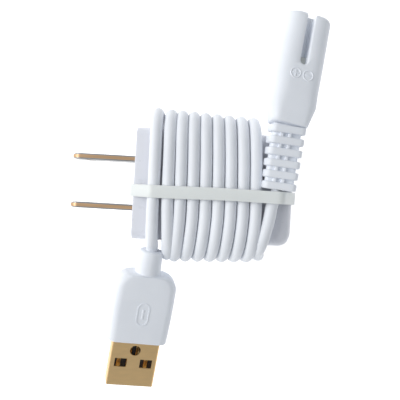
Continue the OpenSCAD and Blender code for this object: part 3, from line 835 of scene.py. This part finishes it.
def make_connector_body():
    """Two round poles in one moulding, parted by a slot, with a narrow grip and neck."""
    half_w, half_h, length = CONNECTOR.y / 2, CONNECTOR.z / 2, CONNECTOR.x
    neck_w, neck_h, shoulder = 4.55, 3.1, 5.1
    rings = [section(0, neck_w - 0.5, neck_h - 0.5, 1.8), section(0.12, neck_w - 0.1, neck_h - 0.1, 2.0)]
    for i in range(7):
        f = i / 6
        x = 0.35 + (shoulder - 0.35) * f
        w = neck_w + (half_w - neck_w) * f
        h = neck_h + (half_h - neck_h) * f
        rings.append(section(x, w, h, 1.7 + 1.5 * f))
    for i in range(1, 8):
        f = i / 7
        x = shoulder + 0.3 + (length - 1.6 - shoulder - 0.3) * f
        rings.append(section(x, half_w + 0.06 * math.sin(math.pi * f), half_h, 3.65))
    for x, inset in rounding(length, 1.5, steps=7)[1:]:
        rings.append(section(x, half_w - inset * 0.75, half_h - inset * 0.8, 3.4 - inset * 0.5))
    body = loft("connector_body_moulding", rings, CONNECTOR_AT, sharp=50)
    slot_w, slot_l, depth, flare = 0.85, 12.9, 3.3, 0.8

    def slot_outline(grow, z):
        bend = length - slot_l + slot_w
        tip = [(-1.1, 0.0), (-0.7, 0.18), (-0.35, 0.5), (0.0, 1.0), (1.5, 1.3)]
        side = [(length + x, slot_w + grow + flare * wide) for x, wide in tip]
        arc = [math.radians(90 + 15 * i) for i in range(13)]
        round_end = [(bend + (slot_w + grow) * math.cos(a), (slot_w + grow) * math.sin(a)) for a in arc]
        outline = side[::-1] + round_end + [(x, -y) for x, y in side]
        return [Vector((x, y, z)) for x, y in outline]

    for s in (-1, 1):
        levels = ((-depth, 0.0), (-0.5, 0.0), (-0.25, 0.06), (-0.06, 0.22), (0.0, 0.32), (0.8, 0.9))
        rings = [slot_outline(grow, s * (half_h + z)) for z, grow in levels]
        combine(body, loft("slot", rings, CONNECTOR_AT), "DIFFERENCE")
    for s in (-1, 1):
        start = (length - SLEEVE_END - SLEEVE_L - 1.2, s * POLE_GAP / 2, 0)
        combine(body, rod(start, (length + 1, s * POLE_GAP / 2, 0), 1.3, CONNECTOR_AT), "DIFFERENCE")
    mark_x, mark_y, mark_r, top = length - slot_l - 2.6, 1.55, 1.18, half_h - 0.01
    bar_w, bar_l, sunk, raised = 0.14, 0.8, 0.2, 0.14
    for s in (-1, 1):
        y = s * mark_y
        combine(body, ring_mark((mark_x, y, top), mark_r, 0.16, CONNECTOR_AT), "UNION")
        bars = [((mark_x - bar_w, y - bar_l, top - sunk), (mark_x + bar_w, y + bar_l, top + raised))]
        if s > 0:
            bars.append(((mark_x - bar_l, y - bar_w, top - sunk), (mark_x + bar_l, y + bar_w, top + raised)))
        for low, high in bars:
            combine(body, block(low, high, CONNECTOR_AT, 0.04), "UNION")
    settle(body, 45)
    return keep(body, "moulded_white", "connector_body")


def make_strain_relief():
    """Six ribs on a slimmer core, joined by short webs, twisted a little."""
    neck = CONNECTOR_AT.translation
    along = neck - RELIEF_START
    length = along.length
    width = Vector((0, 0, 1)).cross(along).normalized()
    roll = Matrix.Rotation(math.radians(RELIEF_ROLL), 3, along.normalized())
    place = basis(RELIEF_START, along, roll @ width)
    count, rib, half_w, half_h = 6, 1.8, 4.1, 2.5
    pitch = (length - rib - 0.1) / (count - 1)
    core_w, core_h, soft, web_half_w = 3.5, 1.4, 0.3, 0.42

    def twist(x):
        return Matrix.Rotation(math.radians(RELIEF_TWIST * x / length), 4, "X")

    def ring(x, w, h, r):
        return [twist(x) @ p for p in section(x, w, h, r)]

    rings = cord_socket(0.6)
    for i in range(count):
        x = i * pitch
        w, h = half_w + 0.04 * i, half_h + 0.04 * i
        rings += [ring(x + e, w - g, h - g, 1.3) for e, g in bevel(soft)]
        rings += [ring(x + rib - e, w - g, h - g, 1.3) for e, g in reversed(bevel(soft))]
        end = x + pitch - 0.04 if i < count - 1 else length + 0.25
        rings += [ring(x + rib + 0.04, core_w, core_h, 0.8), ring(end, core_w, core_h, 0.8)]
    relief = loft("connector_strain_relief_boot", rings, place, sharp=50)
    for i in range(count - 1):
        x = i * pitch + rib
        turned = place @ twist(x)
        for s in (-1, 1):
            for y in (1.5, -0.5):
                low = (x - 0.3, s * y - web_half_w, s * core_h - 0.6)
                high = (x + pitch - rib + 0.3, s * y + web_half_w, s * core_h + 0.6)
                combine(relief, block(low, high, turned, 0.2), "UNION")
    settle(relief, 50)
    return keep(relief, "moulded_white", "connector_strain_relief")


connector_body = make_connector_body()
strain_relief = make_strain_relief()


# ---------- carried-over nodes ----------


def finish_nodes():
    """Gives each CAD node that still shows its slot's material."""
    slots = {s["node"]: s["material_slot"] for s in frame["record"]["subparts"]}
    for name, node in frame["nodes"].items():
        finish = slots[name]
        if finish in FINISHES:
            for holder in node.material_slots:
                holder.material = FINISHES[finish]


finish_nodes()


# ---------- floor, light ----------


def make_floor():
    low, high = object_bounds()
    size, z = 1.2, low[2] - 0.00005
    mesh = bpy.data.meshes.new("floor")
    middle = [(a + b) / 2 for a, b in zip(low, high)]
    corners = [(-size, -size), (size, -size), (size, size), (-size, size)]
    mesh.from_pydata([(middle[0] + x, middle[1] + y, z) for x, y in corners], [], [(0, 1, 2, 3)])
    floor = bpy.data.objects.new("floor", mesh)
    scene.collection.objects.link(floor)
    material, nodes, links, shader = new_material("floor")
    shader.inputs["Roughness"].default_value = 0.9
    stops = [(0.3, (0.90, 0.90, 0.90)), (0.7, (0.93, 0.93, 0.93))]
    links.new(ramp(nodes, links, noise(nodes, links, 30, 2), stops), shader.inputs["Base Color"])
    shader.inputs["Emission Color"].default_value = (1, 1, 1, 1)
    shader.inputs["Emission Strength"].default_value = 0.65
    floor.data.materials.append(material)


def lamp(name, place, target, size, watts, colour):
    data = bpy.data.lights.new(name, "AREA")
    data.shape = "DISK"
    data.size = size
    data.energy = watts
    data.color = colour
    light = bpy.data.objects.new(name, data)
    scene.collection.objects.link(light)
    light.location = place
    light.rotation_euler = (Vector(target) - Vector(place)).to_track_quat("-Z", "Y").to_euler()


def make_light():
    """A broad key from the left and a bright, even room."""
    lamp("key", (-0.45, 0.05, 0.385), (0.02, 0, 0), 0.40, 2.3, (1.0, 0.995, 0.985))
    world = bpy.data.worlds.new("room")
    world.use_nodes = True
    world.node_tree.nodes["Background"].inputs["Color"].default_value = (0.94, 0.97, 1.0, 1)
    world.node_tree.nodes["Background"].inputs["Strength"].default_value = 0.48
    scene.world = world
    scene.view_settings.view_transform = "Standard"


make_floor()
make_light()

bpy.context.view_layer.update()
